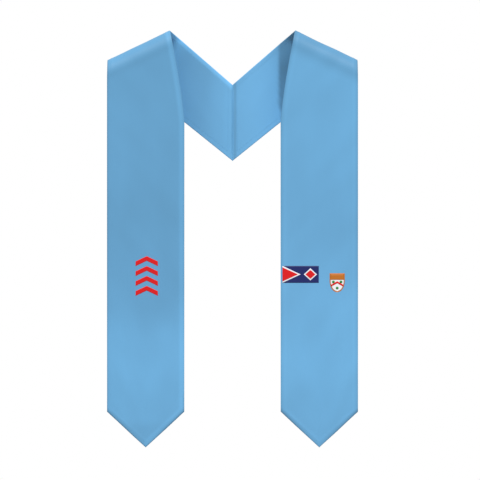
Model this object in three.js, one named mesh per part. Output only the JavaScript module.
import * as THREE from "three";

// A graduation stole as it hangs on the shoulders, in millimetres, +Z up. +X is to the viewer's
// right and the front faces -Y. The origin lies on the plane of symmetry, half way between the
// front and the back layer, at the height where the shoulders carry the cloth.
// The right half is modelled, and the left half is its mirror image.

// Outline, as seen from the front
const PANEL_WIDTH = 132;
const PANEL_GAP = 164;
const HANG_LENGTH = 651;
const TIP_DEPTH = 61;
const NECK_WIDTH = 214;
const SHOULDER_DROP = 51;
const NOTCH_DEPTH = 93;
const SEAM_LENGTH = 130;
const NECK_TAPER_LENGTH = 160;

// Depth
const ROLL_RADIUS = 25;
const PANEL_FOLD_DEPTH = 4;
const BACK_LEAN = 4;
const SEAM_VALLEY_DEPTH = 1.5;
const SEAM_VALLEY_WIDTH = 14;

// Cloth
const FACE_WALL = 1.2;
const BACKING_WALL = 1.0;
const LAYER_GAP = 0.3;
const TURNED_EDGE = 7.5;
const SEAM_GAP = 0.3;

// Fineness of the mesh
const PANEL_STEPS = 22;
const ROLL_STEPS = 12;
const BACK_STEPS = 7;
const WIDTH_STEPS = 8;

// Shapes that have no size of their own: how fast the neck edge's taper fades, and over how many
// tip depths the rows of the cloth change from the hem's point to straight lines
const NECK_TAPER_POWER = 1.35;
const TIP_FADE = 4;

// Soft upright folds of a front panel. Across and spread are shares of the panel's width, depth
// is a share of PANEL_FOLD_DEPTH (less than 0 is a hollow), and start is the share of the hang
// below the shoulder where the fold begins to show.
const FOLDS = [
  { across: 0.12, spread: 0.13, depth: 0.7, start: 0.05 },
  { across: 0.45, spread: 0.2, depth: -0.6, start: 0.1 },
  { across: 0.8, spread: 0.16, depth: 0.8, start: 0.3 },
];

const FULL_WALL = FACE_WALL + LAYER_GAP + BACKING_WALL;
const BACKING_LEVEL = FACE_WALL + LAYER_GAP;
const NECK_EDGE_X = PANEL_GAP / 2;
const OUTER_EDGE_X = NECK_EDGE_X + PANEL_WIDTH;
const NECK_X = NECK_WIDTH / 2;
const SEAM_X = SEAM_GAP / 2;

// Corners of the right half in the front view. The roll's underside is at height 0 half way
// along the shoulder.
const shoulderRun = OUTER_EDGE_X - NECK_X;
const wallOnSlope = (FULL_WALL * Math.hypot(shoulderRun, SHOULDER_DROP)) / shoulderRun;
const peak = new THREE.Vector2(NECK_X, SHOULDER_DROP / 2 + wallOnSlope);
const shoulder = new THREE.Vector2(OUTER_EDGE_X, peak.y - SHOULDER_DROP);
const notch = new THREE.Vector2(SEAM_X, peak.y - NOTCH_DEPTH);
const vPoint = new THREE.Vector2(SEAM_X, notch.y - SEAM_LENGTH);
const hemZ = peak.y - HANG_LENGTH;

// Square to the shoulder ridge, pointing down
const ridge = shoulder.clone().sub(peak).normalize();
const down = new THREE.Vector2(ridge.y, -ridge.x);

function depthBelowRidge(point) {
  return point.clone().sub(peak).dot(down);
}

// The neck edge of the front panel. It leans out to NECK_X over the taper below the peak.
function neckEdge(z) {
  const share = Math.min((peak.y - z) / NECK_TAPER_LENGTH, 1);
  const lean = (NECK_X - NECK_EDGE_X) * (1 - share) ** NECK_TAPER_POWER;
  return new THREE.Vector2(NECK_EDGE_X + lean, z);
}

function outerEdge(z) {
  return new THREE.Vector2(OUTER_EDGE_X, z);
}

// The point of a front edge that lies a given depth below the ridge, found by repeated steps.
function frontPoint(edge, top, depth) {
  let z = top.y - depth;
  for (let turn = 0; turn < 20; turn++) z += (depth - depthBelowRidge(edge(z))) / down.y;
  return edge(z);
}

// The point of a straight back edge that lies a given depth below the ridge.
function backPoint(top, end, depth) {
  return top.clone().lerp(end, depth / depthBelowRidge(end));
}

// The point of a straight back edge at a given distance from the plane of symmetry.
function backPointAt(top, end, x) {
  return top.clone().lerp(end, (x - top.x) / (end.x - top.x));
}

// Where the cloth leaves the roll, in front and behind
const neckFront = frontPoint(neckEdge, peak, ROLL_RADIUS);
const outerFront = frontPoint(outerEdge, shoulder, ROLL_RADIUS);
const neckBack = backPoint(peak, notch, ROLL_RADIUS);
const outerBack = backPoint(shoulder, vPoint, ROLL_RADIUS);

// The turned edge and the gap inside it, as shares of the panel's and the back strip's run
const hemSlope = Math.atan2(TIP_DEPTH, PANEL_WIDTH / 2);
const panelRun = (neckFront.y - hemZ) * Math.cos(hemSlope);
const backRun = neckBack.x - SEAM_X;
const hemLip = TURNED_EDGE / panelRun;
const seamLip = TURNED_EDGE / backRun;

// A row runs across the cloth from its neck edge to its outer edge, in the front view. Share
// is its place in its part of the cloth, and tip how much of the hem's point its line keeps.
function panelRow(share) {
  const aboveLip = Math.max(share - hemLip, 0) * (neckFront.y - hemZ);
  return {
    part: "panel",
    share,
    course: new THREE.Vector2(0, -1),
    neck: neckEdge(THREE.MathUtils.lerp(hemZ, neckFront.y, share)),
    outer: outerEdge(THREE.MathUtils.lerp(hemZ, outerFront.y, share)),
    tip: Math.max(1 - aboveLip / (TIP_DEPTH * TIP_FADE), 0),
  };
}

// The roll turns over the shoulder, from straight ahead to straight behind.
function rollRow(share) {
  const depth = ROLL_RADIUS * (1 - Math.sin(Math.PI * share));
  const inFront = share < 0.5;
  return {
    part: "roll",
    share,
    course: inFront ? new THREE.Vector2(0, -1) : notch.clone().sub(peak),
    neck: inFront ? frontPoint(neckEdge, peak, depth) : backPoint(peak, notch, depth),
    outer: inFront ? frontPoint(outerEdge, shoulder, depth) : backPoint(shoulder, vPoint, depth),
    tip: 0,
  };
}

// The back strip runs down from the roll to the seam at the centre back. Its rows turn upright
// as they near the seam.
function backRow(share) {
  const neckX = THREE.MathUtils.lerp(neckBack.x, SEAM_X, share);
  const slant = (outerBack.x - neckBack.x) * (1 - share) ** 2;
  return {
    part: "back",
    share,
    course: notch.clone().sub(peak),
    neck: backPointAt(peak, notch, neckX),
    outer: backPointAt(shoulder, vPoint, neckX + slant),
    tip: 0,
  };
}

// Width of the cloth at a row, square to its edges.
function widthAt(row) {
  const chord = row.outer.clone().sub(row.neck);
  return Math.abs(chord.cross(row.course.clone().normalize()));
}

// How far the folds push a front panel's face forward.
function foldAt(row, across) {
  const hang = 1 - row.share;
  let forward = 0;
  for (const fold of FOLDS) {
    const bell = Math.exp(-(((across - fold.across) / fold.spread) ** 2));
    const shown = THREE.MathUtils.smoothstep(hang, fold.start, 1);
    forward += PANEL_FOLD_DEPTH * fold.depth * bell * shown;
  }
  return forward;
}

// How far the back strip stands behind the middle plane. It leans back towards the seam, which
// lies in a shallow valley.
function backDepth(row, x) {
  const valley = Math.max(1 - (x - SEAM_X) / (SEAM_VALLEY_WIDTH / 2), 0);
  return ROLL_RADIUS + BACK_LEAN * row.share ** 2 + SEAM_VALLEY_DEPTH * valley;
}

// A point of the face's outer surface. Across is 0 at the neck edge and 1 at the outer edge.
function surfacePoint(row, across) {
  const flat = row.neck.clone().lerp(row.outer, across);
  flat.y -= TIP_DEPTH * (1 - Math.abs(2 * across - 1)) * row.tip;
  let y = -ROLL_RADIUS * Math.cos(Math.PI * row.share);
  if (row.part === "panel") y = -ROLL_RADIUS - foldAt(row, across);
  if (row.part === "back") y = backDepth(row, flat.x);
  return new THREE.Vector3(flat.x, y, flat.y);
}

// All rows of a layer from the hem to the seam. The face begins and ends with its turned edge,
// and the backing lies inside it, a layer gap clear.
function rowsOf(turned) {
  const { lerp } = THREE.MathUtils;
  const clear = turned ? 0 : LAYER_GAP;
  const rows = [panelRow(hemLip + clear / panelRun)];
  for (let i = 1; i < PANEL_STEPS; i++) rows.push(panelRow(lerp(hemLip, 1, i / PANEL_STEPS)));
  for (let i = 0; i < ROLL_STEPS; i++) rows.push(rollRow(i / ROLL_STEPS));
  for (let i = 0; i < BACK_STEPS; i++) rows.push(backRow(lerp(0, 1 - seamLip, i / BACK_STEPS)));
  rows.push(backRow(1 - seamLip - clear / backRun));
  return turned ? [panelRow(0), ...rows, backRow(1)] : rows;
}

// The points of one row of a layer, from the neck edge to the outer edge.
function rowPoints(row, turned) {
  const lip = TURNED_EDGE / widthAt(row);
  const first = turned ? lip : lip + LAYER_GAP / widthAt(row);
  const places = [first];
  for (let j = 1; j < WIDTH_STEPS; j++) places.push(lip + ((1 - 2 * lip) * j) / WIDTH_STEPS);
  places.push(1 - first);
  const all = turned ? [0, ...places, 1] : places;
  return all.map((across) => surfacePoint(row, across));
}

// Directions square to the cloth at each point of a grid, pointing to its reverse. The last
// row of the face stays in the plane of the centre-back seam.
function inwardNormals(grid, turned) {
  const lastRow = grid.length - 1;
  return grid.map((points, i) =>
    points.map((point, j) => {
      const along = grid[Math.min(i + 1, lastRow)][j].clone().sub(grid[Math.max(i - 1, 0)][j]);
      const outer = points[Math.min(j + 1, points.length - 1)];
      const across = outer.clone().sub(points[Math.max(j - 1, 0)]);
      const normal = along.cross(across);
      if (turned && i === lastRow) normal.setX(0);
      return normal.normalize();
    }),
  );
}

// The closed solid of a layer. Top is the level of its outer side, and bottomOf(i, j) the level
// of its reverse in each cell, both measured inwards from the face's outer surface.
function layerGeometry(turned, top, bottomOf) {
  const grid = rowsOf(turned).map((row) => rowPoints(row, turned));
  const normals = inwardNormals(grid, turned);
  const rowCells = grid.length - 1;
  const acrossCells = grid[0].length - 1;
  const positions = [];
  const at = ([i, j], level) => grid[i][j].clone().addScaledVector(normals[i][j], level);
  const quad = (a, b, c, d) => {
    for (const p of [a, b, c, a, c, d]) positions.push(p.x, p.y, p.z);
  };
  const bottomAt = (i, j) => {
    const inside = i >= 0 && j >= 0 && i < rowCells && j < acrossCells;
    return inside ? bottomOf(i, j, rowCells, acrossCells) : top;
  };
  for (let i = 0; i < rowCells; i++) {
    for (let j = 0; j < acrossCells; j++) {
      const bottom = bottomAt(i, j);
      const ring = [[i, j], [i, j + 1], [i + 1, j + 1], [i + 1, j]];
      const neighbours = [[i - 1, j], [i, j + 1], [i + 1, j], [i, j - 1]];
      quad(...ring.map((corner) => at(corner, top)));
      quad(...ring.toReversed().map((corner) => at(corner, bottom)));
      ring.forEach((from, side) => {
        const to = ring[(side + 1) % ring.length];
        const beside = bottomAt(...neighbours[side]);
        if (bottom <= beside) return;
        quad(at(to, beside), at(from, beside), at(from, bottom), at(to, bottom));
      });
    }
  }
  const geometry = new THREE.BufferGeometry();
  geometry.setAttribute("position", new THREE.Float32BufferAttribute(positions, 3));
  geometry.computeVertexNormals();
  return geometry;
}

// The face is the outer satin. Its outermost strip is turned back round the backing, so it is
// a full wall thick there and one layer thick inside.
function faceGeometry() {
  return layerGeometry(true, 0, (i, j, rowCells, acrossCells) => {
    const inTurnedEdge = i === 0 || j === 0 || i === rowCells - 1 || j === acrossCells - 1;
    return inTurnedEdge ? FULL_WALL : FACE_WALL;
  });
}

// The backing is the satin of the reverse, which shows behind the neck.
function backingGeometry() {
  return layerGeometry(false, BACKING_LEVEL, () => FULL_WALL);
}

const satin = new THREE.MeshStandardMaterial({ color: 0x6aa5d0, roughness: 0.42, metalness: 0 });
const reverse = new THREE.MeshStandardMaterial({ color: 0x6ba9d8, roughness: 0.5, metalness: 0 });

function half(side) {
  const group = new THREE.Group();
  const face = new THREE.Mesh(faceGeometry(), satin);
  face.name = side + "_face";
  const backing = new THREE.Mesh(backingGeometry(), reverse);
  backing.name = side + "_backing";
  group.add(face, backing);
  return group;
}

const stole = new THREE.Group();
const leftHalf = half("left");
leftHalf.scale.x = -1;
stole.add(leftHalf, half("right"));

export default stole;
